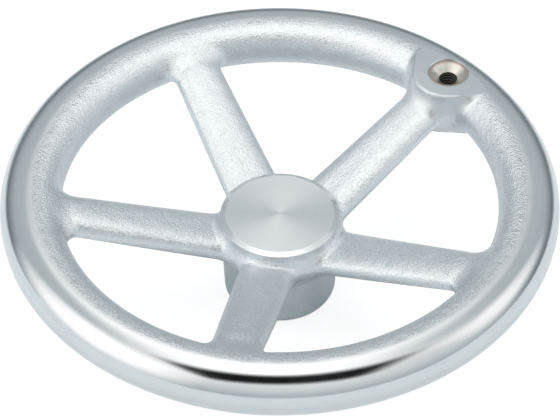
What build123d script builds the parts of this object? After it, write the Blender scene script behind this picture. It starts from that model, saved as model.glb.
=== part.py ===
"""Machine handwheel, 200 mm: a one-piece aluminium casting and a pressed-in steel handle bush.

Lengths are in millimetres and angles in degrees. The origin is the centre of the hub's bottom
face. +Z runs up the wheel's axis, and +X passes over the axis of the handle boss.
"""

from build123d import *
from math import acos, asin, atan2, cos, degrees, radians, sin, tan
import os

# ---- Rim: an oval section, cast all round, then turned and polished on its outer side ----
wheel_diameter = 200.0
rim_height = 19.6
rim_outer_depth = 9.8
rim_inner_depth = 11.9
rim_centre_height = 43.8
turning_depth = 0.2
turned_edge_inset = 1.6

# ---- Hub: drafted towards its bottom, faced and chamfered on top ----
hub_length = 37.2
hub_top_diameter = 43.0
hub_bottom_diameter = 40.2
hub_bottom_round = 4.0
hub_chamfer_width = 1.9
hub_chamfer_depth = 1.0
hub_root_fillet = 3.5

# ---- Spokes: round-edged arms that taper outwards, climb from the hub and level out into the rim ----
spoke_count = 5
spoke_root_width = 20.4
spoke_tip_width = 17.5
spoke_thickness = 9.2
spoke_edge_round = 4.5
spoke_edge_share = 0.98
spoke_web_round = 10.5
spoke_root_drop = 10.3
spoke_tip_lift = 1.0
spoke_knee_inset = 1.5
spoke_knee_radius = 40.0
spoke_tip_fillet = 6.5

# ---- Handle boss on the first spoke: a round boss, spot-faced flush with the rim's crest ----
boss_axis_inset = 5.7
boss_diameter = 27.0
boss_rise = 1.7
boss_fillet = 3.0
boss_blend_share = 0.75
spot_face_diameter = 33.0

# ---- Handle bush: a plain steel bush with a wide countersink and a threaded hole ----
bush_diameter = 14.8
bush_recess = 0.5
bush_lead_in = 0.6
bush_lip = 0.6
bush_bore_diameter = 6.8
bush_countersink_angle = 120.0

# ---- Allowances and angles ----
machining_stock = 3.0
contact_tolerance = 0.01
edge_sample = 0.4
steep = 0.9
full_turn = 360
half_turn = full_turn / 2
quarter_turn = full_turn / 4
UPWARDS = (Align.CENTER, Align.CENTER, Align.MIN)

# ---- Derived sizes ----
wheel_radius = wheel_diameter / 2
rim_half_height = rim_height / 2
crest_radius = wheel_radius - rim_outer_depth
crest_height = rim_centre_height + rim_half_height
rim_inner_radius = crest_radius - rim_inner_depth
turned_edge_radius = crest_radius - turned_edge_inset

hub_top_radius = hub_top_diameter / 2
hub_bottom_radius = hub_bottom_diameter / 2
hub_face_radius = hub_top_radius - hub_chamfer_width
hub_draft = (hub_top_radius - hub_bottom_radius) / hub_length
hub_blank_height = hub_length + machining_stock

spoke_pitch = full_turn / spoke_count
between_spokes = Rot(0, 0, spoke_pitch / 2)
root_height = hub_length - spoke_root_drop
knee_station = rim_inner_radius - spoke_knee_inset
level_height = rim_centre_height + spoke_tip_lift
spoke_half_thickness = spoke_thickness / 2
climb_angle = degrees(atan2(level_height - root_height, knee_station - hub_top_radius))
climb_slope = tan(radians(climb_angle))
knee_tangent = spoke_knee_radius * tan(radians(climb_angle / 2))
# the two rounds on each side of an arm share its thickness
edge_round = min(spoke_edge_round, spoke_edge_share * spoke_half_thickness)

boss_axis_radius = crest_radius - boss_axis_inset
boss_radius = boss_diameter / 2
boss_bottom_height = rim_centre_height - rim_half_height + boss_rise
boss_depth = crest_height - boss_bottom_height
bush_radius = bush_diameter / 2
bush_top_height = crest_height - bush_recess
bush_bore_radius = bush_bore_diameter / 2
countersink_radius = bush_radius - bush_lip
countersink_depth = (countersink_radius - bush_bore_radius) / tan(radians(bush_countersink_angle / 2))

# the boss's wall between a spoke's side and the rim has to hold both of its fillets
arm_side_angle = asin(spoke_tip_width / 2 / boss_radius)
rim_reach = boss_axis_radius**2 + boss_radius**2 - rim_inner_radius**2
rim_side_angle = acos(rim_reach / (2 * boss_axis_radius * boss_radius))
boss_wall = boss_radius * (rim_side_angle - arm_side_angle)
boss_blend = min(boss_fillet, boss_blend_share * boss_wall)


def turned(profile):
    """Solid of revolution about the wheel's axis, with its seam between two spokes."""
    return between_spokes * revolve(Plane.XZ * profile, Axis.Z)


def rim_oval(allowance):
    """Rim section, deeper on its inner side, with an allowance left on its outer half."""
    centre = (crest_radius, rim_centre_height)
    depth = rim_outer_depth + allowance
    height = rim_half_height + allowance
    outer = EllipticalCenterArc(centre, depth, height, -quarter_turn, arc_size=half_turn)
    inner = EllipticalCenterArc(centre, rim_inner_depth, height, quarter_turn, arc_size=half_turn)
    return make_face([outer, inner])


def make_spider_plan():
    """Outline of all the arms seen from above, with a rounded web in each corner between two arms."""
    taper = (spoke_root_width - spoke_tip_width) / 2 / (rim_inner_radius - hub_top_radius)
    centre_half_width = spoke_root_width / 2 + taper * hub_top_radius
    end_half_width = centre_half_width - taper * turned_edge_radius
    arm = Polygon(
        (0, -centre_half_width),
        (turned_edge_radius, -end_half_width),
        (turned_edge_radius, end_half_width),
        (0, centre_half_width),
        align=None,
    )
    plan = Sketch() + [Rot(0, 0, turn * spoke_pitch) * arm for turn in range(spoke_count)]
    corners = plan.vertices().sort_by(SortBy.DISTANCE)[:spoke_count]
    return fillet(corners, spoke_web_round)


def make_dish():
    """Dish that the arms lie in: a straight climb from inside the hub, then a knee into the rim."""
    climb = Vector(cos(radians(climb_angle)), sin(radians(climb_angle)))
    across = Vector(-climb.Y, climb.X) * spoke_half_thickness
    lift = Vector(0, spoke_half_thickness)
    start = Vector(hub_bottom_radius / 2, root_height) - Vector(0, climb_slope * hub_bottom_radius / 2)
    knee_start = Vector(knee_station, level_height) - climb * knee_tangent
    knee_end = Vector(knee_station + knee_tangent, level_height)
    end = Vector(crest_radius, level_height)
    profile = [
        Line(start + across, knee_start + across),
        TangentArc(knee_start + across, knee_end + lift, tangent=climb),
        Line(knee_end + lift, end + lift),
        Line(end + lift, end - lift),
        Line(end - lift, knee_end - lift),
        TangentArc(knee_start - across, knee_end - lift, tangent=climb),
        Line(knee_start - across, start - across),
        Line(start - across, start + across),
    ]
    return turned(make_face(profile))


def make_spider():
    """All the arms in one piece: the dish cut to the plan, with the long edges rounded over."""
    plan = make_spider_plan()
    spider = make_dish() & extrude(plan, crest_height)
    sides = [edge for edge in plan.edges() if (edge @ edge_sample).length < rim_inner_radius]
    long_edges = ShapeList()
    for edge in spider.edges():
        point = edge @ edge_sample
        shadow = Vertex(point.X, point.Y, 0)
        upright = abs((edge % edge_sample).Z) > steep
        if not upright and min(side.distance_to(shadow) for side in sides) < contact_tolerance:
            long_edges.append(edge)
    return fillet(long_edges, edge_round)


def make_hub():
    """Hub blank: a drafted cylinder with a rounded bottom edge and facing stock on top."""
    profile = Polygon(
        (0, 0),
        (hub_bottom_radius, 0),
        (hub_bottom_radius + hub_draft * hub_blank_height, hub_blank_height),
        (0, hub_blank_height),
        align=None,
    )
    hub = turned(profile)
    bottom_edge = hub.edges().filter_by(GeomType.CIRCLE).sort_by(Axis.Z)[0]
    return fillet(bottom_edge, hub_bottom_round)


def make_boss():
    """Handle boss blank: a post from its flat bottom to the cast crest, cut at the crest circle."""
    post = Cylinder(boss_radius, boss_depth + turning_depth, align=UPWARDS)
    inside_crest = between_spokes * Cylinder(crest_radius, crest_height + turning_depth, align=UPWARDS)
    return Pos(boss_axis_radius, 0, boss_bottom_height) * post & inside_crest


def touches(shape, point):
    """Whether a point lies on the skin of a shape."""
    return min(face.distance_to(Vertex(point)) for face in shape.faces()) < contact_tolerance


def joint_edges(body, first, second):
    """Edges of a body along which the skins of two of its fused pieces meet."""
    edges = ShapeList()
    for edge in body.edges():
        point = edge @ edge_sample
        if touches(first, point) and touches(second, point):
            edges.append(edge)
    return edges


def crossing_edges(body, first, second):
    """Joint edges where two skins cross at an angle, without the circles along which they only touch."""
    return joint_edges(body, first, second).filter_by(GeomType.CIRCLE, reverse=True)


def make_casting_blank():
    """Rim, arms, boss and hub fused and filleted, as they leave the mould."""
    rim = turned(rim_oval(turning_depth))
    hub = make_hub()
    boss = make_boss()
    spider = make_spider()
    blank = rim + spider
    tips = [edge for edge in crossing_edges(blank, rim, spider) if not boss.is_inside(edge @ edge_sample)]
    blank = fillet(tips, spoke_tip_fillet) + boss
    blank = fillet(crossing_edges(blank, boss, spider), boss_blend)
    blank = fillet(crossing_edges(blank, boss, rim), boss_blend) + hub
    return fillet(joint_edges(blank, hub, spider), hub_root_fillet)


def facing_cut():
    """Stock above the hub's faced top and shallow chamfer; the cone runs out over the root fillets."""
    reach = hub_top_radius + hub_root_fillet
    cone_drop = hub_chamfer_depth * (reach - hub_face_radius) / hub_chamfer_width
    profile = Polygon(
        (0, hub_length),
        (hub_face_radius, hub_length),
        (reach, hub_length - cone_drop),
        (reach, hub_blank_height),
        (0, hub_blank_height),
        align=None,
    )
    return turned(profile)


def turning_cut():
    """Skin taken off the rim's outer side, from the turned edge outwards."""
    envelope = Pos(turned_edge_radius, rim_centre_height) * Rectangle(
        wheel_radius + machining_stock - turned_edge_radius,
        rim_height + machining_stock,
        align=(Align.MIN, Align.CENTER),
    )
    return turned(envelope - rim_oval(0))


def make_casting():
    """The wheel casting after machining: hub faced, rim turned, boss spot-faced and bored."""
    spot_face = Cylinder(spot_face_diameter / 2, machining_stock, align=UPWARDS)
    bush_seat = Cylinder(bush_radius, crest_height, align=UPWARDS)
    casting = make_casting_blank() - facing_cut() - turning_cut()
    casting = casting - Pos(boss_axis_radius, 0, crest_height) * spot_face
    return casting - Pos(boss_axis_radius, 0, 0) * bush_seat


def make_bush():
    """Steel bush pressed into the boss, with a countersunk threaded hole right through."""
    profile = Polygon(
        (bush_bore_radius, boss_bottom_height),
        (bush_radius - bush_lead_in, boss_bottom_height),
        (bush_radius, boss_bottom_height + bush_lead_in),
        (bush_radius, bush_top_height),
        (countersink_radius, bush_top_height),
        (bush_bore_radius, bush_top_height - countersink_depth),
        align=None,
    )
    return Pos(boss_axis_radius, 0, 0) * revolve(Plane.XZ * profile, Axis.Z)


os.makedirs("parts", exist_ok=True)
export_step(make_casting(), "parts/wheel_casting.step")
export_step(make_bush(), "parts/handle_bush.step")
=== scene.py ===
"""Machine handwheel: a blasted aluminium casting with a polished rim, a turned hub and a steel handle bush.

Blender works in metres. Sizes are written in millimetres and are scaled where a mesh or a material
takes them. The origin is the centre of the hub's bottom face, +Z runs up the wheel's axis, and +X
passes over the axis of the handle boss.
"""

import logging
import math
from dataclasses import dataclass
from enum import Enum
from typing import Callable, Union

import bmesh
import bpy
import numpy as np
import openvdb
from mathutils import Matrix, Vector


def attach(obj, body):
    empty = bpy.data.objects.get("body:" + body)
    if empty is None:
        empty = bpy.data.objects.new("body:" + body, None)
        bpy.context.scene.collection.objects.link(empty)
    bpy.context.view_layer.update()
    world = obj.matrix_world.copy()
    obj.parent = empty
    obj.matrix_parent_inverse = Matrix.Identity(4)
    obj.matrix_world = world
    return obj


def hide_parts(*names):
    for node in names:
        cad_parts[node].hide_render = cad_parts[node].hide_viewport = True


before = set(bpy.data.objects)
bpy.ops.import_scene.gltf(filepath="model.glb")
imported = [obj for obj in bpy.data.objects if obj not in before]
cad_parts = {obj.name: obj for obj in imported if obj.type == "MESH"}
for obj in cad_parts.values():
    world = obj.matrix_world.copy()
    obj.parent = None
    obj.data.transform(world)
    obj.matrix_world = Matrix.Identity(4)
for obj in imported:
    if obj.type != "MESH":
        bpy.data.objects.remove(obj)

LOG = logging.getLogger("handwheel")
MILLIMETRE = 0.001
WHITE = (1.0, 1.0, 1.0)
Array = np.ndarray
Colour = tuple[float, float, float]
Profile = list[tuple[float, float]]
Socket = bpy.types.NodeSocket
Sockets = dict[str, Socket]
Value = Union[Socket, float, Colour]
Span = tuple[float, float]  # the two ends of a soft step or of a range
Line = tuple[float, float]  # how much a value gains, and where it starts


# ---- Shader building ----


class Graph:
    """Adds and joins the nodes of one shader tree."""

    def __init__(self, tree: bpy.types.NodeTree) -> None:
        """Keeps the tree that the nodes go into."""
        self.tree = tree

    def node(self, kind: str, inputs: "dict | None" = None, **settings: object) -> bpy.types.Node:
        """Adds a node.

        Args:
            kind: The node's Blender type name.
            inputs: What its inputs get, by their names or numbers.
            settings: Attributes to set on it.

        Returns:
            The new node.
        """
        made = self.tree.nodes.new(kind)
        for name, value in settings.items():
            setattr(made, name, value)
        self.fill(made, inputs or {})
        return made

    def fill(self, node: bpy.types.Node, inputs: dict) -> None:
        """Feeds several inputs of a node, by their names or numbers."""
        for label, value in inputs.items():
            self.feed(node.inputs[label], value)

    def feed(self, target: Socket, value: Value) -> None:
        """Joins a socket to a target, or sets the target to a fixed value.

        Args:
            target: The input socket.
            value: An output socket, a number or a colour.
        """
        if isinstance(value, Socket):
            self.tree.links.new(value, target)
        elif target.type == "RGBA":
            target.default_value = (*value, 1.0)
        else:
            target.default_value = value

    def coordinates(self, kind: str) -> Socket:
        """Gives places on the object or, in the world, directions."""
        return self.node("ShaderNodeTexCoord").outputs[kind]

    def split(self, vector: Socket) -> tuple[Socket, Socket, Socket]:
        """Splits a place or a direction into X, Y and Z."""
        made = self.node("ShaderNodeSeparateXYZ", {"Vector": vector})
        return made.outputs["X"], made.outputs["Y"], made.outputs["Z"]

    def math(self, operation: str, *values: Value, clamp: bool = False) -> Socket:
        """Adds a Math node, which may keep its result between 0 and 1."""
        made = self.node("ShaderNodeMath", dict(enumerate(values)), operation=operation, use_clamp=clamp)
        return made.outputs["Value"]

    def times(self, first: Socket, *others: Value) -> Socket:
        """Multiplies a value by each of the others in turn.

        Args:
            first: The value.
            others: What it is multiplied by.

        Returns:
            The product's socket.
        """
        for other in others:
            first = self.math("MULTIPLY", first, other)
        return first

    def squares(self, first: Socket, second: Socket) -> Socket:
        """Adds the squares of two values."""
        return self.math("MULTIPLY_ADD", second, second, self.times(first, first))

    def ramp(self, value: Socket, low: float, high: float) -> Socket:
        """Smooth step from 0 to 1 as a value goes from low to high."""
        ends = {"Value": value, "From Min": low, "From Max": high}
        return self.node("ShaderNodeMapRange", ends, interpolation_type="SMOOTHSTEP").outputs["Result"]

    def fade(self, length: Socket, start: float, end: float) -> Socket:
        """Smooth step from 0 to 1 as a length goes from start to end, both in millimetres."""
        return self.ramp(length, start * MILLIMETRE, end * MILLIMETRE)

    def stretch(self, value: Socket, low: float, high: float) -> Socket:
        """Maps a value that goes from 0 to 1 on to the range from low to high."""
        ends = {"Value": value, "To Min": low, "To Max": high}
        return self.node("ShaderNodeMapRange", ends).outputs["Result"]

    def mix(self, factor: Socket, first: Value, second: Value) -> Socket:
        """Goes from a first colour to a second one as a factor goes from 0 to 1."""
        made = self.node("ShaderNodeMix", {"Factor": factor, 6: first, 7: second}, data_type="RGBA")
        return made.outputs[2]

    def blend(self, factor: Socket, first: Value, second: Value) -> Socket:
        """Goes from a first number to a second one as a factor goes from 0 to 1."""
        made = self.node("ShaderNodeMix", {"Factor": factor, 2: first, 3: second}, data_type="FLOAT")
        return made.outputs[0]

    def noise(self, vector: Socket, scale: Value, detail: float = 2.0, rough: float = 0.5) -> Socket:
        """Adds 3-D noise, with its cells in a metre, its octaves and how strong the fine ones are."""
        cells = {"Vector": vector, "Scale": scale, "Detail": detail, "Roughness": rough}
        return self.node("ShaderNodeTexNoise", cells).outputs["Fac"]


@dataclass(frozen=True)
class Effect:
    """A surface effect, kept as one shader node group so that finishes can share it.

    Its first input is always the place on the object, named Vector. The others are numbers.
    """

    name: str
    inputs: dict[str, float]
    wire: Callable[[Graph, Sockets], Sockets]

    def group(self) -> bpy.types.NodeTree:
        """Builds the group the first time and finds it again afterwards.

        Returns:
            The node group.
        """
        known = bpy.data.node_groups.get(self.name)
        if known:
            return known
        tree = bpy.data.node_groups.new(self.name, "ShaderNodeTree")
        tree.interface.new_socket("Vector", in_out="INPUT", socket_type="NodeSocketVector")
        for label, value in self.inputs.items():
            socket = tree.interface.new_socket(label, in_out="INPUT", socket_type="NodeSocketFloat")
            socket.default_value = value
        graph = Graph(tree)
        entry = graph.node("NodeGroupInput")
        results = self.wire(graph, {socket.name: socket for socket in entry.outputs if socket.name})
        for label in results:
            tree.interface.new_socket(label, in_out="OUTPUT", socket_type="NodeSocketFloat")
        graph.node("NodeGroupOutput", results)
        return tree

    def place(self, graph: Graph, **values: Value) -> Sockets:
        """Puts the group into a material.

        Args:
            graph: The material's graph.
            values: Input values or sockets, with an underscore for each space in a name.

        Returns:
            The group's output sockets by name.
        """
        given = {label.replace("_", " "): value for label, value in values.items()}
        made = graph.node("ShaderNodeGroup", given, node_tree=self.group())
        return {socket.name: socket for socket in made.outputs}


def wire_blast_grain(graph: Graph, given: Sockets) -> Sockets:
    """Pitted skin that blasting leaves: small dimples and peaks over the slow waves of the cast skin.

    Args:
        graph: The group's graph.
        given: The group's input sockets.

    Returns:
        Height, Grain and Mottle.
    """
    softness, dimple_share, middle = 0.4, 0.7, 0.8
    fine_times, fine_rough, broad_times = 1.7, 0.6, 0.16
    vector, per_metre = given["Vector"], given["Dimples per Metre"]
    pattern = {"Vector": vector, "Scale": per_metre, "Smoothness": softness}
    dimples = graph.node("ShaderNodeTexVoronoi", pattern, feature="SMOOTH_F1")
    fine = graph.noise(vector, graph.times(per_metre, fine_times), 1.0, fine_rough)
    broad = graph.noise(vector, graph.times(per_metre, broad_times))
    height = graph.math("MULTIPLY_ADD", dimples.outputs["Distance"], dimple_share, fine)
    waves = graph.times(graph.math("SUBTRACT", broad, 0.5), given["Waves"])
    height = graph.math("SUBTRACT", graph.math("ADD", height, waves), middle)
    return {"Height": height, "Grain": fine, "Mottle": broad}


def wire_turned_rings(graph: Graph, given: Sockets) -> Sockets:
    """Fine rings that a tool or a polishing wheel leaves round an upright axis.

    Args:
        graph: The group's graph.
        given: The group's input sockets.

    Returns:
        Height, Tone and Radius.
    """
    ring_rough, wide_times = 0.6, 0.11
    x, y, z = graph.split(given["Vector"])
    radius = graph.math("SQRT", graph.squares(graph.math("SUBTRACT", x, given["Axis X"]), y))
    place = graph.node("ShaderNodeCombineXYZ", {"X": radius, "Y": z}).outputs["Vector"]
    rings = graph.noise(place, given["Rings per Metre"], rough=ring_rough)
    wide = graph.noise(place, graph.times(given["Rings per Metre"], wide_times))
    return {"Height": rings, "Tone": wide, "Radius": radius}


def wire_handling(graph: Graph, given: Sockets) -> Sockets:
    """Faint smears from use and wiping, which come out as Smear."""
    octaves, rough = 4.0, 0.55
    return {"Smear": graph.noise(given["Vector"], given["Smears per Metre"], octaves, rough)}


BLAST_GRAIN = Effect("blast grain", {"Dimples per Metre": 1500.0, "Waves": 2.0}, wire_blast_grain)
TURNED_RINGS = Effect("turned rings", {"Axis X": 0.0, "Rings per Metre": 3000.0}, wire_turned_rings)
HANDLING = Effect("handling marks", {"Smears per Metre": 40.0}, wire_handling)


@dataclass(frozen=True)
class MetalSurface:
    """A new material with its graph, its Principled shader and the place on the object."""

    material: bpy.types.Material
    graph: Graph
    shader: bpy.types.Node
    place: Socket

    @classmethod
    def begin(cls, name: str) -> "MetalSurface":
        """Makes an empty metal material.

        Args:
            name: The material's name.

        Returns:
            The surface, ready to be wired.
        """
        material = bpy.data.materials.new(name)
        material.use_nodes = True
        graph = Graph(material.node_tree)
        shader = material.node_tree.nodes["Principled BSDF"]
        graph.fill(shader, {"Metallic": 1.0})
        return cls(material, graph, shader, graph.coordinates("Object"))

    def rings(self, per_metre: float, axis: float = 0.0) -> Sockets:
        """Lays turned rings round an upright axis, which stands at a place on X in millimetres."""
        given = {"Axis_X": axis * MILLIMETRE, "Rings_per_Metre": per_metre}
        return TURNED_RINGS.place(self.graph, Vector=self.place, **given)

    def smear(self, per_metre: float) -> Socket:
        """Lays the smears of handling."""
        return HANDLING.place(self.graph, Vector=self.place, Smears_per_Metre=per_metre)["Smear"]

    def finish(self, colour: Socket, roughness: Socket) -> None:
        """Feeds the shader's colour and roughness."""
        self.graph.fill(self.shader, {"Base Color": colour, "Roughness": roughness})

    def bump(self, height: Socket, depth: float) -> None:
        """Feeds a height from 0 to 1 into the shader's normal, with its real depth in millimetres."""
        made = self.graph.node("ShaderNodeBump", {"Distance": depth * MILLIMETRE, "Height": height})
        self.graph.fill(self.shader, {"Normal": made.outputs["Normal"]})


@dataclass(frozen=True)
class CastingSkin:
    """Skin of the casting: blasted all over, polished round the rim and machined smooth at the boss."""

    wheel: "WheelCasting"
    name: str = "casting_skin"
    # colours of the blasted skin, its pits, the machined boss, the painted shade on the hub's lower side and
    # the polished rim
    light: Colour = (0.862, 0.884, 0.904)
    dark: Colour = (0.768, 0.795, 0.815)
    pit: Colour = (0.50, 0.52, 0.54)
    smooth: Colour = (0.72, 0.755, 0.765)
    hub_painted_shade: Colour = (0.78, 0.81, 0.815)
    buffed: Colour = (0.80, 0.81, 0.82)
    buffed_dark: Colour = (0.74, 0.75, 0.765)
    # how fine and how deep the grain, the rings and the smears are
    dimples_per_metre: float = 1450.0
    rings_per_metre: float = 2600.0
    smears_per_metre: float = 45.0
    waves: float = 1.6
    depth: float = 0.165
    ring_share: float = 0.02
    hub_wear: float = 0.6
    machined_grain: float = 0.12
    # where the noise turns from one colour to the other
    fine_share: float = 0.8
    slow_share: float = 0.2
    tone_span: Span = (0.3, 0.68)
    pit_span: Span = (0.58, 0.38)
    pit_share: float = 0.6
    buff_span: Span = (0.35, 0.6)
    # roughness of each finish
    cast_dull: Span = (0.22, 0.38)
    machined_dull: float = 0.44
    buffed_dull: Span = (0.08, 0.19)
    edge_dull: float = 0.16
    # distances over which one finish fades into the next
    pit_start: float = 4.5
    pit_end: float = 2.0
    polish_blur: float = 0.6
    crest_margin: float = 0.4
    hub_margin: float = 2.5
    hub_drop: float = 6.0
    spoke_start: float = 7.0
    spoke_end: float = 16.0
    cutter_blur: Span = (0.5, 5.5)
    foot_blur: float = 3.0

    def material(self) -> bpy.types.Material:
        """Builds the finish.

        Returns:
            The material.
        """
        surface, wheel = MetalSurface.begin(self.name), self.wheel
        graph = surface.graph
        given = {"Dimples_per_Metre": self.dimples_per_metre, "Waves": self.waves}
        grain = BLAST_GRAIN.place(graph, Vector=surface.place, **given)
        rings = surface.rings(self.rings_per_metre)
        smear = surface.smear(self.smears_per_metre)
        radius, level = rings["Radius"], graph.split(surface.place)[2]

        wander = graph.math("MULTIPLY_ADD", grain["Mottle"], self.polish_blur * MILLIMETRE, radius)
        edge = wheel.turned_radius
        polished = graph.fade(wander, edge - self.polish_blur, edge + self.polish_blur)
        machined = self.boss_mask(surface, radius, level)
        # mask of the hub's lower side, which carries painted shade in the colour and a smoother grain in the
        # bump
        hub = graph.times(
            graph.fade(radius, wheel.hub_top + self.hub_margin, wheel.hub_top),
            graph.fade(level, wheel.root_height, wheel.root_height - self.hub_drop),
        )
        skin = graph.times(grain["Grain"], self.fine_share)
        skin = graph.math("MULTIPLY_ADD", grain["Mottle"], self.slow_share, skin)
        skin = graph.mix(graph.ramp(skin, *self.tone_span), self.dark, self.light)
        beside = graph.fade(radius, edge - self.pit_start, edge - self.pit_end)
        pits = graph.times(beside, graph.ramp(grain["Grain"], *self.pit_span), self.pit_share)
        skin = graph.mix(pits, skin, self.pit)
        # painted shade: the hub's lower side, where the arms and rim shade it, is coloured darker
        skin = graph.mix(hub, skin, self.hub_painted_shade)
        skin = graph.mix(machined, skin, self.smooth)
        tone = graph.times(graph.math("ADD", rings["Tone"], smear), 0.5)
        bright = graph.mix(graph.ramp(tone, *self.buff_span), self.buffed_dark, self.buffed)

        dull = graph.blend(machined, graph.stretch(grain["Grain"], *self.cast_dull), self.machined_dull)
        worn_edge = graph.fade(radius, wheel.crest_radius + self.crest_margin, edge)
        fresh = graph.stretch(smear, *self.buffed_dull)
        fresh = graph.math("MULTIPLY_ADD", worn_edge, self.edge_dull, fresh)
        surface.finish(graph.mix(polished, skin, bright), graph.blend(polished, dull, fresh))

        worn = graph.math("MULTIPLY_ADD", hub, -self.hub_wear, 1.0)
        rough = graph.times(grain["Height"], graph.blend(machined, worn, self.machined_grain))
        turned = graph.times(rings["Height"], self.ring_share)
        surface.bump(graph.blend(polished, rough, turned), self.depth)
        return surface.material

    def boss_mask(self, surface: MetalSurface, radius: Socket, level: Socket) -> Socket:
        """Where the cutter for the boss has been, crisp on the rim and fading out on the spoke.

        Args:
            surface: The casting's surface.
            radius: Distance from the wheel's axis.
            level: Height.

        Returns:
            The mask.
        """
        graph, edge, foot = surface.graph, self.wheel.turned_radius, self.wheel.rim_height
        around = surface.rings(self.rings_per_metre, self.wheel.boss_axis)
        on_spoke = graph.fade(radius, edge - self.spoke_start, edge - self.spoke_end)
        spread = graph.stretch(on_spoke, *(MILLIMETRE * blur for blur in self.cutter_blur))
        inside = graph.math("SUBTRACT", self.wheel.spot_radius * MILLIMETRE, around["Radius"])
        inside = graph.math("ADD", graph.math("DIVIDE", inside, spread), 0.5, clamp=True)
        return graph.times(inside, graph.fade(level, foot, foot + self.foot_blur))


@dataclass(frozen=True)
class SpottedAluminium:
    """Satin aluminium of the boss's flat, where a spot-facing cutter has gone round."""

    axis: float
    name: str = "spotted_aluminium"
    light: Colour = (0.81, 0.835, 0.85)
    dark: Colour = (0.76, 0.785, 0.80)
    rings_per_metre: float = 3800.0
    smears_per_metre: float = 90.0
    tone_span: Span = (0.35, 0.65)
    dull: Span = (0.24, 0.36)
    depth: float = 0.008

    def material(self) -> bpy.types.Material:
        """Builds the finish.

        Returns:
            The material.
        """
        surface = MetalSurface.begin(self.name)
        graph = surface.graph
        rings = surface.rings(self.rings_per_metre, self.axis)
        smear = surface.smear(self.smears_per_metre)
        tone = graph.times(graph.math("ADD", rings["Height"], smear), 0.5)
        colour = graph.mix(graph.ramp(tone, *self.tone_span), self.dark, self.light)
        surface.finish(colour, graph.stretch(smear, *self.dull))
        surface.bump(rings["Height"], self.depth)
        return surface.material


@dataclass(frozen=True)
class FacedAluminium:
    """Aluminium left by a facing tool: concentric feed lines that smear the reflections."""

    face_radius: float
    name: str = "faced_aluminium"
    light: Colour = (0.775, 0.795, 0.81)
    dark: Colour = (0.735, 0.755, 0.77)
    chamfer: Colour = (0.88, 0.885, 0.89)
    rings_per_metre: float = 5200.0
    smears_per_metre: float = 60.0
    tone_span: Span = (0.3, 0.7)
    dull: Span = (0.3, 0.42)
    chamfer_dull: float = 0.16
    edge_blur: float = 0.1
    depth: float = 0.013
    smear: float = 0.7
    chamfer_smear: float = 0.2
    turn: float = 0.25

    def material(self) -> bpy.types.Material:
        """Builds the finish.

        Returns:
            The material.
        """
        surface = MetalSurface.begin(self.name)
        graph = surface.graph
        rings = surface.rings(self.rings_per_metre)
        marks = surface.smear(self.smears_per_metre)
        colour = graph.mix(graph.ramp(rings["Height"], *self.tone_span), self.dark, self.light)
        rim, blur = self.face_radius, self.edge_blur
        edge = graph.fade(rings["Radius"], rim - blur, rim + blur)
        dull = graph.blend(edge, graph.stretch(marks, *self.dull), self.chamfer_dull)
        surface.finish(graph.mix(edge, colour, self.chamfer), dull)
        tangent = graph.node("ShaderNodeTangent", direction_type="RADIAL", axis="Z")
        brushed = {
            "Anisotropic": graph.blend(edge, self.smear, self.chamfer_smear),
            "Anisotropic Rotation": self.turn,
            "Tangent": tangent.outputs["Tangent"],
        }
        graph.fill(surface.shader, brushed)
        surface.bump(rings["Height"], self.depth)
        return surface.material


@dataclass(frozen=True)
class BushSteel:
    """Turned steel of the handle bush: a warm ring, a bright countersink and a thread painted dark with the
    shade inside its hole.
    """

    bush: "HandleBush"
    name: str = "bush_steel"
    ring: Colour = (0.58, 0.49, 0.44)
    cone: Colour = (0.72, 0.69, 0.63)
    stain: Colour = (0.46, 0.425, 0.385)
    # painted shade: the threaded hole is coloured near black at the thread roots and dark grey at the crests,
    # in place of the shade inside the hole
    painted_bore_shade: Colour = (0.008, 0.008, 0.008)
    crest: Colour = (0.15, 0.15, 0.14)
    rings_per_metre: float = 5200.0
    smears_per_metre: float = 320.0
    stain_span: Span = (0.48, 0.68)
    stain_share: float = 0.7
    crest_start: float = 0.6
    crest_end: float = 0.3
    throat_below: float = 0.15
    throat_above: float = 0.05
    ring_blur: float = 0.6
    dull: Span = (0.24, 0.4)
    depth: float = 0.02

    def material(self) -> bpy.types.Material:
        """Builds the finish.

        Returns:
            The material.
        """
        surface, bush = MetalSurface.begin(self.name), self.bush
        graph = surface.graph
        rings = surface.rings(self.rings_per_metre, bush.axis)
        stained = graph.ramp(surface.smear(self.smears_per_metre), *self.stain_span)
        cone = graph.mix(graph.times(stained, self.stain_share), self.cone, self.stain)
        # painted shade inside the threaded hole, below the countersink
        deep = graph.fade(rings["Radius"], bush.root - self.crest_start, bush.root - self.crest_end)
        painted_bore_shade = graph.mix(deep, self.crest, self.painted_bore_shade)
        level = graph.split(surface.place)[2]
        sunk = graph.fade(level, bush.throat - self.throat_below, bush.throat + self.throat_above)
        outside = graph.fade(rings["Radius"], bush.mouth - self.ring_blur, bush.mouth)
        colour = graph.mix(outside, graph.mix(sunk, painted_bore_shade, cone), self.ring)
        surface.finish(colour, graph.stretch(rings["Tone"], *self.dull))
        surface.bump(rings["Height"], self.depth)
        return surface.material


# ---- Mesh building ----


def new_object(name: str, vertices: "Array | list", faces: list) -> bpy.types.Object:
    """Makes an object from corners in millimetres and links it to the scene.

    Args:
        name: The name of the object and its mesh.
        vertices: The corners.
        faces: Corner numbers of each face.

    Returns:
        The object.
    """
    mesh = bpy.data.meshes.new(name)
    mesh.from_pydata(np.asarray(vertices) * MILLIMETRE, [], faces)
    made = bpy.data.objects.new(name, mesh)
    bpy.context.scene.collection.objects.link(made)
    return made


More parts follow.
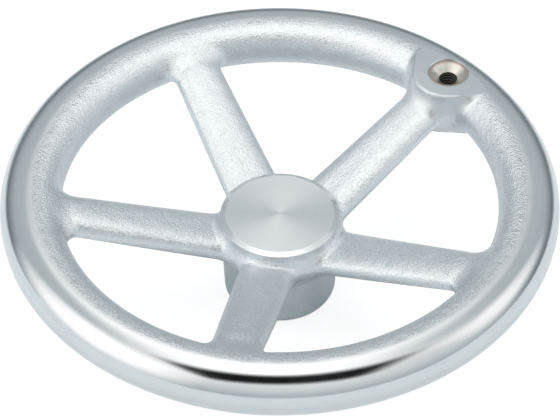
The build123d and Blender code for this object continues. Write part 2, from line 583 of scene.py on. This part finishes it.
def read_rows(rows: "bpy.types.bpy_prop_collection", attribute: str, width: int, kind: type) -> Array:
    """Reads an attribute of all of a mesh's vertices, faces or corners.

    Args:
        rows: The vertices, faces or corners.
        attribute: The attribute's name.
        width: How many numbers each has.
        kind: The kind of number.

    Returns:
        One row for each.
    """
    values = np.empty(len(rows) * width, dtype=kind)
    rows.foreach_get(attribute, values)
    return values.reshape(-1, width)


def rounded_union(first: Array, second: Array, radius: "float | Array") -> Array:
    """Joins two fields with a fillet. Turned inside out, they give their overlap with a rounded edge."""
    gap = np.hypot(np.maximum(radius - first, 0), np.maximum(radius - second, 0))
    return np.maximum(radius, np.minimum(first, second)) - gap


def oval(across: Array, over: Array, half: "tuple[Array | float, float]", power: "Array | float") -> Array:
    """Measures distances to an oval, which is fuller than an ellipse where its power is over 2.

    Args:
        across: Place across the oval, as a share of its half width.
        over: Place over the oval's middle, as a share of its half height.
        half: Half the width and half the height.
        power: The oval's power.

    Returns:
        The distances, which are true near the oval's skin.
    """
    least = 1e-3
    size = np.maximum((across**power + over**power) ** (1 / power), least)
    slope = np.hypot(across ** (power - 1) / half[0], over ** (power - 1) / half[1]) * size ** (1 - power)
    return (size - 1) / np.maximum(slope, least)


def revolved(name: str, profile: Profile, steps: int, centre: float = 0.0) -> bpy.types.Object:
    """Solid turned about an upright axis, from a closed profile of radii and heights.

    Args:
        name: The object's name.
        profile: Radius and height of each corner, anticlockwise.
        steps: Divisions round the axis.
        centre: Where the axis stands on X.

    Returns:
        The new closed object.
    """
    angles = np.linspace(0, 2 * np.pi, steps, endpoint=False)
    vertices: list[tuple[float, float, float]] = []
    rings: list[list[int]] = []
    for radius, height in profile:
        if radius == 0:
            rings.append([len(vertices)] * steps)
            vertices.append((centre, 0.0, height))
        else:
            rings.append(list(range(len(vertices), len(vertices) + steps)))
            vertices += [(centre + radius * math.cos(a), radius * math.sin(a), height) for a in angles]
    faces: list[tuple[int, ...]] = []
    for ring, following in zip(rings, rings[1:] + rings[:1]):
        for i in range(steps):
            j = (i + 1) % steps
            corners = dict.fromkeys((ring[i], ring[j], following[j], following[i]))
            if len(corners) > 2:
                faces.append(tuple(corners))
    return new_object(name, vertices, faces)


@dataclass(frozen=True)
class Places:
    """Places to measure from: X, Y, height, and the distance from the wheel's axis."""

    x: Array
    y: Array
    z: Array
    rho: Array

    @classmethod
    def of(cls, points: Array) -> "Places":
        """Splits points that stand one a row."""
        x, y, z = points.T
        return cls(x, y, z, np.hypot(x, y))


class Skin(Enum):
    """The finishes on the casting, in the order of its material slots."""

    CAST = 0
    FACED = 1
    SPOTTED = 2
    BORED = 3


@dataclass
class WheelCasting:
    """The one-piece wheel: oval rim, five arms, hub and handle boss, as cast and then machined."""

    arms: int = 5
    rim_half_height: float = 9.8
    rim_outer: float = 9.8
    rim_inner: float = 11.9
    rim_fullness: float = 2.35
    rim_height: float = 43.8
    crest_radius: float = 90.2
    turned_radius: float = 88.6
    hub_length: float = 37.2
    hub_top: float = 21.5
    hub_bottom: float = 20.1
    hub_round: float = 4.0
    hub_face: float = 19.6
    hub_chamfer: float = 0.9
    hub_blend: float = 3.5
    hub_steps: int = 256
    arm_root: float = 10.2
    arm_tip: float = 8.75
    arm_thickness: float = 9.2
    arm_crown: float = 2.3
    web_round: float = 10.5
    root_height: float = 26.9
    tip_height: float = 44.8
    knee_inset: float = 1.5
    knee_radius: float = 40.0
    tip_blend: float = 6.5
    tip_blend_over: float = 4.0
    tip_blend_loss: float = 0.5
    boss_axis: float = 84.5
    boss_radius: float = 13.5
    boss_bottom: float = 35.7
    boss_blend: float = 4.5
    boss_blend_least: float = 0.01
    boss_blend_gain: float = 2.0
    boss_lip: float = 1.0
    spot_radius: float = 16.5
    spot_lift: float = 0.01
    spot_steps: int = 160
    seat_radius: float = 7.4
    seat_chamfer: float = 0.25
    seat_steps: int = 128
    stock: float = 3.0
    clearance: float = 1.0
    # how the field is meshed, and how often the corners are pulled on to it
    voxel: float = 0.9
    band: int = 3
    batches: int = 24
    passes: int = 4
    least_slope: float = 0.2
    slope_step: float = 0.01
    # how near a face lies to the surface that it belongs to
    near_skin: float = 0.03
    near_flat: float = 0.002
    near_seat: float = 0.01
    sliver: float = 0.002

    @property
    def crest(self) -> float:
        """Height of the rim's turned crest."""
        return self.rim_height + self.rim_half_height

    @property
    def rim_inside(self) -> float:
        """Radius of the rim's inner side."""
        return self.crest_radius - self.rim_inner

    def rim(self, at: Places) -> Array:
        """Measures distances to the rim, a little fuller between its crest and its inner side.

        Args:
            at: The places.

        Returns:
            The distances.
        """
        offset = at.rho - self.crest_radius
        half_width = np.where(offset > 0, self.rim_outer, self.rim_inner)
        rise = at.z - self.rim_height
        power = np.where((offset < 0) & (rise > 0), self.rim_fullness, 2.0)
        across, over = np.abs(offset) / half_width, np.abs(rise) / self.rim_half_height
        return oval(across, over, (half_width, self.rim_half_height), power)

    def dish(self, at: Places) -> Array:
        """Measures heights over the dished surface that the arms follow, with its knee below the rim.

        Args:
            at: The places.

        Returns:
            The heights.
        """
        knee = self.rim_inside - self.knee_inset
        slope = (self.tip_height - self.root_height) / (knee - self.hub_top)
        angle = math.atan(slope)
        centre_rho = knee + self.knee_radius * math.tan(angle / 2)
        centre_z = self.tip_height - self.knee_radius
        climb = ((at.z - self.tip_height) - (at.rho - knee) * slope) * math.cos(angle)
        level = at.z - self.tip_height
        turn = np.hypot(at.rho - centre_rho, at.z - centre_z) - self.knee_radius
        start = centre_rho - self.knee_radius * math.sin(angle)
        return np.where(at.rho > centre_rho, level, np.where(at.rho < start, climb, turn))

    def plan(self, at: Places) -> Array:
        """Measures distances, seen from above, to the arms with the rounded webs between them.

        Args:
            at: The places.

        Returns:
            The distances.
        """
        pitch = 2 * np.pi / self.arms
        taper = (self.arm_root - self.arm_tip) / (self.rim_inside - self.hub_top)
        middle = self.arm_root + taper * self.hub_top
        lean = math.atan(taper)
        nearest = (np.arctan2(at.y, at.x) + pitch / 2) % pitch - pitch / 2
        sides = []
        for shift in (0.0, pitch):
            angle = np.abs(nearest) - shift
            along = at.rho * np.cos(angle)
            across = np.abs(at.rho * np.sin(angle))
            sides.append((across - middle + taper * along) * math.cos(lean))
        return rounded_union(sides[0], sides[1], self.web_round)

    def spider(self, at: Places) -> Array:
        """Measures distances to the crowned arms: full in the middle, falling away to rounded sides.

        Args:
            at: The places.

        Returns:
            The distances.
        """
        half = self.arm_thickness / 2
        across = np.maximum(1 + self.plan(at) / self.arm_tip, 0)
        return oval(across, np.abs(self.dish(at)) / half, (self.arm_tip, half), self.arm_crown)

    def hub(self, at: Places) -> Array:
        """Measures distances to the drafted hub with its rounded bottom edge.

        Args:
            at: The places.

        Returns:
            The distances.
        """
        draft = (self.hub_top - self.hub_bottom) / self.hub_length
        side = (at.rho - self.hub_bottom - draft * at.z) * math.cos(math.atan(draft))
        body = -rounded_union(-side, at.z, self.hub_round)
        return np.maximum(body, at.z - self.hub_length - self.stock)

    def boss(self, at: Places) -> Array:
        """Measures distances to the handle boss, cut at the crest circle.

        Args:
            at: The places.

        Returns:
            The distances.
        """
        side = np.hypot(at.x - self.boss_axis, at.y) - self.boss_radius
        post = -rounded_union(-side, self.crest - at.z, self.boss_lip)
        post = np.maximum(post, self.boss_bottom - at.z)
        return np.maximum(post, at.rho - self.crest_radius)

    def cast(self, points: Array) -> Array:
        """Measures distances to the casting, with its rim turned but its hub and boss not yet faced.

        Args:
            points: Places, one a row.

        Returns:
            The distances.
        """
        at = Places.of(points)
        arms = np.maximum(self.spider(at), at.rho - self.turned_radius)
        tips = self.tip_blend - np.abs(at.z - self.tip_height) * self.tip_blend_loss
        whole = rounded_union(self.rim(at), arms, np.clip(tips, self.tip_blend_over, self.tip_blend))
        foot = self.boss_blend_gain * (self.crest_radius - at.rho)
        whole = rounded_union(whole, self.boss(at), np.clip(foot, self.boss_blend_least, self.boss_blend))
        return rounded_union(whole, self.hub(at), self.hub_blend)

    def slope_of(self, points: Array) -> Array:
        """Finds which way the distances to the casting grow.

        Args:
            points: Places, one a row.

        Returns:
            One slope a row.
        """
        slopes = np.empty_like(points)
        for axis in range(3):
            shift = np.zeros(3)
            shift[axis] = self.slope_step
            slopes[:, axis] = (self.cast(points + shift) - self.cast(points - shift)) / (2 * self.slope_step)
        return slopes

    def blank(self) -> bpy.types.Object:
        """Meshes the casting before its hub and boss are machined.

        Returns:
            The closed object.
        """
        reach = self.crest_radius + self.rim_outer + 2 * self.voxel
        across = np.arange(-reach, reach, self.voxel)
        up = np.arange(-2 * self.voxel, self.crest + 3 * self.voxel, self.voxel)
        grid = np.stack(np.meshgrid(across, across, up, indexing="ij"), -1).reshape(-1, 3)
        values = np.concatenate([self.cast(part) for part in np.array_split(grid, self.batches)])
        values = np.clip(values, -self.band * self.voxel, self.band * self.voxel).astype(np.float32)
        volume = openvdb.FloatGrid(self.band * self.voxel)
        volume.copyFromArray(values.reshape(len(across), len(across), len(up)))
        cells, quads = volume.convertToQuads(isovalue=0.0)
        points = cells.astype(float) * self.voxel + (across[0], across[0], up[0])
        for _ in range(self.passes):
            slope = self.slope_of(points)
            points -= slope * (self.cast(points) / np.maximum((slope**2).sum(1), self.least_slope))[:, None]
        corner = points[quads]
        lean = np.cross(corner[:, 1] - corner[:, 0], corner[:, 2] - corner[:, 0])
        if (lean * self.slope_of(corner.mean(1))).sum() < 0:
            quads = quads[:, ::-1]
        return new_object("wheel_body", points, quads.tolist())

    def cutters(self) -> list[bpy.types.Object]:
        """Makes closed tools that take off what machining takes off.

        Returns:
            Tools for the hub, the spot face and the bush's seat.
        """
        reach = self.hub_top + self.hub_blend
        drop = self.hub_chamfer * (reach - self.hub_face) / (self.hub_top - self.hub_face)
        top = self.hub_length + self.stock + self.clearance
        facing = [(0, self.hub_length), (self.hub_face, self.hub_length)]
        facing += [(reach, self.hub_length - drop), (reach, top), (0, top)]
        flat, high = self.crest + self.spot_lift, self.crest + self.stock
        spot = [(0, flat), (self.spot_radius, flat), (self.spot_radius, high), (0, high)]
        low = self.boss_bottom - self.stock
        wide = self.seat_radius + self.seat_chamfer + self.stock
        seat = [(0, low), (self.seat_radius, low), (self.seat_radius, flat - self.seat_chamfer)]
        seat += [(wide, flat + self.stock), (0, flat + self.stock)]
        return [
            revolved("hub_tool", facing, self.hub_steps),
            revolved("spot_tool", spot, self.spot_steps, self.boss_axis),
            revolved("seat_tool", seat, self.seat_steps, self.boss_axis),
        ]

    def build(self, finishes: dict[Skin, bpy.types.Material]) -> bpy.types.Object:
        """Meshes, machines and dresses the casting.

        Args:
            finishes: The material of each skin.

        Returns:
            The finished piece.
        """
        body = self.blank()
        tools = self.cutters()
        for tool in tools:
            cut = body.modifiers.new(tool.name, "BOOLEAN")
            cut.operation, cut.solver, cut.object = "DIFFERENCE", "MANIFOLD", tool
        graph = bpy.context.evaluated_depsgraph_get()
        mesh = bpy.data.meshes.new_from_object(body.evaluated_get(graph))
        body.modifiers.clear()
        body.data = mesh
        for tool in tools:
            bpy.data.objects.remove(tool)
        self.trim(mesh)
        mesh.materials.clear()
        for skin in Skin:
            mesh.materials.append(finishes[skin])
        self.shade(mesh)
        return body

    def trim(self, mesh: bpy.types.Mesh) -> None:
        """Splits the machined faces into triangles and takes out slivers with no area.

        Args:
            mesh: The machined mesh.
        """
        work = bmesh.new()
        work.from_mesh(mesh)
        large = [face for face in work.faces if len(face.verts) > 4]
        bmesh.ops.triangulate(work, faces=large, quad_method="BEAUTY", ngon_method="BEAUTY")
        bmesh.ops.dissolve_degenerate(work, dist=self.sliver * MILLIMETRE, edges=work.edges[:])
        work.to_mesh(mesh)
        work.free()

    def skins(self, centres: Array) -> Array:
        """Finds which finish each face carries.

        Args:
            centres: Middles of the faces.

        Returns:
            Material slot numbers.
        """
        at = Places.of(centres)
        from_boss = np.hypot(at.x - self.boss_axis, at.y)
        found = np.full(len(centres), Skin.CAST.value)
        slope = self.hub_chamfer / (self.hub_top - self.hub_face)
        below = self.hub_length - np.maximum(at.rho - self.hub_face, 0) * slope
        faced = (at.rho < self.hub_top + self.hub_blend) & (np.abs(at.z - below) < self.near_skin)
        found[faced & (np.abs(self.cast(centres)) >= self.near_skin)] = Skin.FACED.value
        flat = np.abs(at.z - self.crest - self.spot_lift) < self.near_flat
        found[flat & (from_boss < self.spot_radius)] = Skin.SPOTTED.value
        found[from_boss < self.seat_radius + self.seat_chamfer - self.near_seat] = Skin.BORED.value
        return found

    def shade(self, mesh: bpy.types.Mesh) -> None:
        """Gives each face its finish, and each corner on the cast skin the field's true direction.

        Args:
            mesh: The machined mesh.
        """
        places = read_rows(mesh.vertices, "co", 3, float) / MILLIMETRE
        leans = read_rows(mesh.polygons, "normal", 3, float)
        skins = self.skins(read_rows(mesh.polygons, "center", 3, float) / MILLIMETRE)
        mesh.polygons.foreach_set("material_index", skins.astype(np.int32))
        mesh.shade_smooth()
        corners = read_rows(mesh.loops, "vertex_index", 1, np.int32)[:, 0]
        counts = read_rows(mesh.polygons, "loop_total", 1, np.int32)[:, 0]
        owner = np.repeat(np.arange(len(mesh.polygons)), counts)
        directions = leans[owner]
        cast = skins[owner] == Skin.CAST.value
        directions[cast] = self.slope_of(places[corners[cast]])
        directions /= np.maximum(np.linalg.norm(directions, axis=1), 1e-9)[:, None]
        mesh.normals_split_custom_set(directions)


@dataclass
class HandleBush:
    """The steel bush in the boss: a wide countersink over a threaded through hole."""

    axis: float = 84.5
    radius: float = 7.4
    bottom: float = 35.7
    top: float = 53.1
    lead_in: float = 0.6
    lip: float = 0.9
    edge_break: float = 0.12
    crest: float = 3.4
    root: float = 4.0
    pitch: float = 1.25
    crest_flat: float = 0.31
    root_flat: float = 0.16
    countersink_angle: float = 106.0
    run_in: float = 0.5
    entry_chamfer: float = 0.5
    steps: int = 144
    row: float = 0.075
    sharp_angle: float = 28.0

    @property
    def cone_slope(self) -> float:
        """How much the countersink widens over its height."""
        return math.tan(math.radians(self.countersink_angle / 2))

    @property
    def mouth(self) -> float:
        """Radius of the countersink's mouth."""
        return self.radius - self.lip

    @property
    def throat(self) -> float:
        """Height at which the countersink ends in the threaded hole."""
        return self.top - (self.mouth - self.crest) / self.cone_slope

    def thread(self, angle: Array, height: Array) -> Array:
        """Finds the radius of the cut thread, which runs in below the countersink.

        Args:
            angle: Angles round the bush.
            height: Heights.

        Returns:
            The radii.
        """
        turn = (height / self.pitch - angle / (2 * np.pi)) % 1.0
        from_crest = np.abs(turn - 0.5) * self.pitch
        flank = (self.pitch - self.crest_flat - self.root_flat) / 2
        depth = np.clip((from_crest - self.crest_flat / 2) / flank, 0, 1)
        depth = depth * np.clip((self.throat - height) / self.run_in, 0, 1)
        return self.crest + (self.root - self.crest) * depth

    def build(self, finish: bpy.types.Material) -> bpy.types.Object:
        """Meshes and dresses the bush.

        Args:
            finish: The bush's material.

        Returns:
            The finished piece.
        """
        heights = np.linspace(self.bottom, self.top, int((self.top - self.bottom) / self.row) + 1)
        angles = np.linspace(0, 2 * np.pi, self.steps, endpoint=False)
        angle, height = np.meshgrid(angles, heights)
        cone = self.mouth - (self.top - height) * self.cone_slope
        hole = np.maximum(self.thread(angle, height), cone)
        hole = np.maximum(hole, self.root + self.entry_chamfer - (height - self.bottom))
        wall, soft = self.radius, self.edge_break
        outer = [(wall - soft, self.top), (wall, self.top - soft)]
        outer += [(wall, self.bottom + self.lead_in), (wall - self.lead_in, self.bottom)]
        edges, levels = np.array(outer).T
        rounds = np.concatenate([hole, np.repeat(edges[:, None], self.steps, axis=1)])
        up = np.broadcast_to(np.concatenate([heights, levels])[:, None], rounds.shape)
        across, along = self.axis + rounds * np.cos(angles), rounds * np.sin(angles)
        vertices = np.stack([across, along, up], 2).reshape(-1, 3)
        first = np.arange(rounds.size).reshape(rounds.shape)
        second = np.roll(first, -1, axis=0)
        faces = np.stack([first, second, np.roll(second, -1, axis=1), np.roll(first, -1, axis=1)], 2)
        piece = new_object("threaded_bush", vertices, faces.reshape(-1, 4).tolist())
        piece.data.materials.append(finish)
        piece.data.shade_smooth()
        piece.data.set_sharp_from_angle(angle=math.radians(self.sharp_angle))
        return piece


# ---- Studio ----


@dataclass(frozen=True)
class SideLight:
    """A soft light in one wall of the room: its bearing, the cosine at which it ends, and its level."""

    bearing: float
    edge: float
    level: float

    def share(self, graph: Graph, across: Socket, along: Socket) -> Socket:
        """Finds how much of the light shows in a direction, fading out to both sides.

        Args:
            graph: The world's graph.
            across: The direction's part to the right of the view.
            along: The direction's part away from the view.

        Returns:
            The share's socket.
        """
        turn, least = math.radians(self.bearing), 0.001
        level = graph.math("SQRT", graph.squares(along, across))
        ahead = graph.times(along, -math.cos(turn))
        facing = graph.math("MULTIPLY_ADD", across, math.sin(turn), ahead)
        facing = graph.math("DIVIDE", facing, graph.math("MAXIMUM", level, least))
        return graph.math("DIVIDE", graph.math("SUBTRACT", facing, self.edge), 1.0 - self.edge, clamp=True)


@dataclass
class Studio:
    """Camera, pale room, floor, and a card with a soft box and a flag."""

    azimuth: float = -42.46
    elevation: float = 44.42
    roll: float = -0.1675
    distance: float = 1127.06
    aim: tuple[float, float, float] = (0.096, -0.209, 39.0)
    lens: float = 201.8
    near: float = 10.0
    far: float = 50000.0
    # the room's light, which follows how far a direction rises from level
    front: Line = (0.48, 0.54)
    wall_low: Line = (0.78, 0.2)
    wall_high: Line = (0.12, 0.47)
    ceiling_focus: float = 10.0
    ceiling_level: float = 0.28
    room_seam: Span = (-0.15, 0.35)
    left: SideLight = SideLight(-74.0, 0.7, 1.45)
    left_foot: Line = (1.4, 0.47)
    left_head: Span = (0.92, 0.72)
    right: SideLight = SideLight(97.0, 0.88, 1.2)
    right_foot: Span = (0.1, 0.5)
    right_head: Span = (0.9, 0.65)
    tint_span: Span = (0.3, 1.2)
    cool: Colour = (0.845, 0.955, 1.0)
    warm: Colour = (1.0, 0.996, 0.99)
    floor_drop: float = 0.2
    floor_size: float = 8000.0
    floor_roughness: float = 0.9
    under_wheel: Span = (0.007, 0.001)  # squares of lengths in metres
    behind_wheel: Span = (100.0, 420.0)
    # the floor's colours: a painted shadow under the wheel, darker behind it, and the colour the camera sees
    paper: Colour = (0.80, 0.85, 0.87)
    paper_painted_shadow: Colour = (0.75, 0.80, 0.82)
    paper_behind: Colour = (0.34, 0.38, 0.40)
    paper_seen: Colour = (0.4, 0.4, 0.4)
    seen_glow: float = 0.785
    bounce_glow: float = 0.19
    card_height: float = 300.0
    card_size: float = 1800.0
    box_offset: float = 15.0
    box_sides: Span = (170.0, 0.0)
    box_front: Span = (-125.0, -45.0)
    box_back: Span = (270.0, 190.0)
    box_level: float = 1.5
    box_colour: Colour = (1.0, 0.998, 0.99)
    flag_left: Span = (-165.0, -115.0)
    flag_right: Span = (220.0, 120.0)
    flag_front: Span = (-320.0, -220.0)

    def camera(self) -> bpy.types.Object:
        """Makes the camera.

        Returns:
            The camera object.
        """
        data = bpy.data.cameras.new("camera")
        data.lens = self.lens
        data.clip_start, data.clip_end = self.near * MILLIMETRE, self.far * MILLIMETRE
        camera = bpy.data.objects.new("camera", data)
        turn = Matrix.Rotation(math.radians(self.azimuth), 4, "Z")
        aim = Matrix.Translation(Vector(self.aim) * MILLIMETRE)
        tilt = Matrix.Rotation(math.radians(90.0 - self.elevation), 4, "X")
        roll = Matrix.Rotation(math.radians(self.roll), 4, "Z")
        back = Matrix.Translation((0, 0, self.distance * MILLIMETRE))
        camera.matrix_world = turn @ aim @ tilt @ roll @ back
        bpy.context.scene.collection.objects.link(camera)
        bpy.context.scene.camera = camera
        return camera

    def room_axes(self, graph: Graph, kind: str) -> tuple[Socket, Socket, Socket]:
        """Splits places or directions along the room, which is turned to the wheel by a fixed angle.

        Args:
            graph: The graph of the world or the floor.
            kind: Which coordinates are split.

        Returns:
            The parts across the room, towards its back wall, and up.
        """
        place = {"Vector": graph.coordinates(kind), "Angle": -math.radians(self.azimuth)}
        turned = graph.node("ShaderNodeVectorRotate", place, rotation_type="Z_AXIS")
        return graph.split(turned.outputs["Vector"])

    def world(self) -> None:
        """Wraps the scene in a pale room: lighter in front of the wheel, darker behind it."""
        world = bpy.data.worlds.new("studio")
        bpy.context.scene.world = world
        world.use_nodes = True
        graph = Graph(world.node_tree)
        across, along, up = self.room_axes(graph, "Generated")
        rise = graph.math("MAXIMUM", up, 0.0)
        front = graph.math("MULTIPLY_ADD", rise, *self.front)
        low = graph.math("MULTIPLY_ADD", rise, *self.wall_low)
        wall = graph.math("MINIMUM", low, graph.math("MULTIPLY_ADD", rise, *self.wall_high))
        ceiling = graph.math("POWER", rise, self.ceiling_focus)
        back = graph.math("MULTIPLY_ADD", ceiling, self.ceiling_level, wall)
        value = graph.blend(graph.ramp(along, *self.room_seam), front, back)
        left = graph.math("MULTIPLY_ADD", rise, *self.left_foot, clamp=True)
        right = graph.ramp(rise, *self.right_foot)
        for light, share, head in ((self.left, left, self.left_head), (self.right, right, self.right_head)):
            share = graph.times(share, graph.ramp(rise, *head), light.share(graph, across, along))
            value = graph.blend(share, value, light.level)
        tint = graph.mix(graph.ramp(value, *self.tint_span), self.cool, self.warm)
        seen = graph.node("ShaderNodeLightPath").outputs["Is Camera Ray"]
        shown = {"Strength": graph.blend(seen, value, 1.0), "Color": graph.mix(seen, tint, WHITE)}
        graph.fill(world.node_tree.nodes["Background"], shown)

    def sheet(self, name: str, size: float, height: float) -> bpy.types.Object:
        """Makes a flat square, centred on the wheel's axis.

        Args:
            name: The name of the sheet.
            size: The length of its sides.
            height: Its height.

        Returns:
            The sheet.
        """
        half = size / 2
        corners = [(-half, -half, height), (half, -half, height), (half, half, height), (-half, half, height)]
        return new_object(name, corners, [(0, 1, 2, 3)])

    def card(self) -> bpy.types.Object:
        """Hangs one clear sheet close above the wheel that carries the soft box and a black flag.

        Returns:
            The sheet.
        """
        card = self.sheet("light_card", self.card_size, self.card_height)
        card.rotation_euler.z = math.radians(self.azimuth)
        card.visible_camera = False
        card.visible_shadow = False
        material = bpy.data.materials.new("light_card")
        material.use_nodes = True
        material.node_tree.nodes.clear()
        graph = Graph(material.node_tree)
        across, along, _ = graph.split(graph.coordinates("Object"))
        from_middle = graph.math("ABSOLUTE", graph.math("ADD", across, self.box_offset * MILLIMETRE))
        split = graph.fade(along, *self.box_front)
        box = graph.times(graph.fade(from_middle, *self.box_sides), split, graph.fade(along, *self.box_back))
        flag = graph.times(graph.fade(across, *self.flag_left), graph.fade(across, *self.flag_right))
        flag = graph.times(flag, graph.fade(along, *self.flag_front), graph.math("SUBTRACT", 1.0, split))
        open_share = graph.math("SUBTRACT", graph.math("SUBTRACT", 1.0, box), flag, clamp=True)
        grey = graph.node("ShaderNodeCombineColor", dict.fromkeys(("Red", "Green", "Blue"), open_share))
        clear = graph.node("ShaderNodeBsdfTransparent", {"Color": grey.outputs["Color"]})
        lit = {"Color": self.box_colour, "Strength": graph.times(box, self.box_level)}
        glow = graph.node("ShaderNodeEmission", lit)
        both = graph.node("ShaderNodeAddShader", {0: clear.outputs[0], 1: glow.outputs[0]})
        graph.node("ShaderNodeOutputMaterial", {"Surface": both.outputs[0]})
        card.data.materials.append(material)
        return card

    def floor(self) -> bpy.types.Object:
        """Lays the pale floor, which takes the wheel's soft shadow, with more shadow painted into its colour
        under the wheel.

        Returns:
            The floor.
        """
        floor = self.sheet("floor", self.floor_size, -self.floor_drop)
        material = bpy.data.materials.new("pale_floor")
        material.use_nodes = True
        graph = Graph(material.node_tree)
        path = graph.node("ShaderNodeLightPath")
        camera, glossy = path.outputs["Is Camera Ray"], path.outputs["Is Glossy Ray"]
        across, along, _ = self.room_axes(graph, "Object")
        under = graph.ramp(graph.squares(across, along), *self.under_wheel)
        behind = graph.fade(along, *self.behind_wheel)
        # painted shadow: under the wheel, the floor's colour is darker as reflections and bounced light see
        # it
        paper = graph.mix(behind, graph.mix(under, self.paper, self.paper_painted_shadow), self.paper_behind)
        bounce = graph.math("SUBTRACT", glossy, graph.math("MAXIMUM", under, behind), clamp=True)
        bounce = graph.times(bounce, self.bounce_glow)
        look = {
            "Base Color": graph.mix(camera, paper, self.paper_seen),
            "Roughness": self.floor_roughness,
            "Specular IOR Level": 0.0,
            "Emission Color": WHITE,
            "Emission Strength": graph.math("MULTIPLY_ADD", camera, self.seen_glow, bounce),
        }
        graph.fill(material.node_tree.nodes["Principled BSDF"], look)
        floor.data.materials.append(material)
        return floor

    def build(self) -> None:
        """Sets up the view, the light and the floor."""
        self.camera()
        self.world()
        self.floor()
        self.card()
        bpy.context.scene.view_settings.view_transform = "Standard"


def main() -> None:
    """Builds the wheel and its studio, and reports each piece."""
    logging.basicConfig(level=logging.INFO, format="%(name)s: %(message)s")
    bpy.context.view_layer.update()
    Studio().build()
    LOG.info("studio ready")
    casting = WheelCasting()
    spotted = SpottedAluminium(casting.boss_axis).material()
    finishes = {
        Skin.CAST: CastingSkin(casting).material(),
        Skin.FACED: FacedAluminium(casting.hub_face).material(),
        Skin.SPOTTED: spotted,
        Skin.BORED: spotted,
    }
    wheel = casting.build(finishes)
    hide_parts("wheel_casting")
    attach(wheel, "root")
    LOG.info("%s: %d faces", wheel.name, len(wheel.data.polygons))
    bush = HandleBush()
    steel = bush.build(BushSteel(bush).material())
    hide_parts("handle_bush")
    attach(steel, "root")
    LOG.info("%s: %d faces", steel.name, len(steel.data.polygons))


if __name__ == "__main__":
    main()
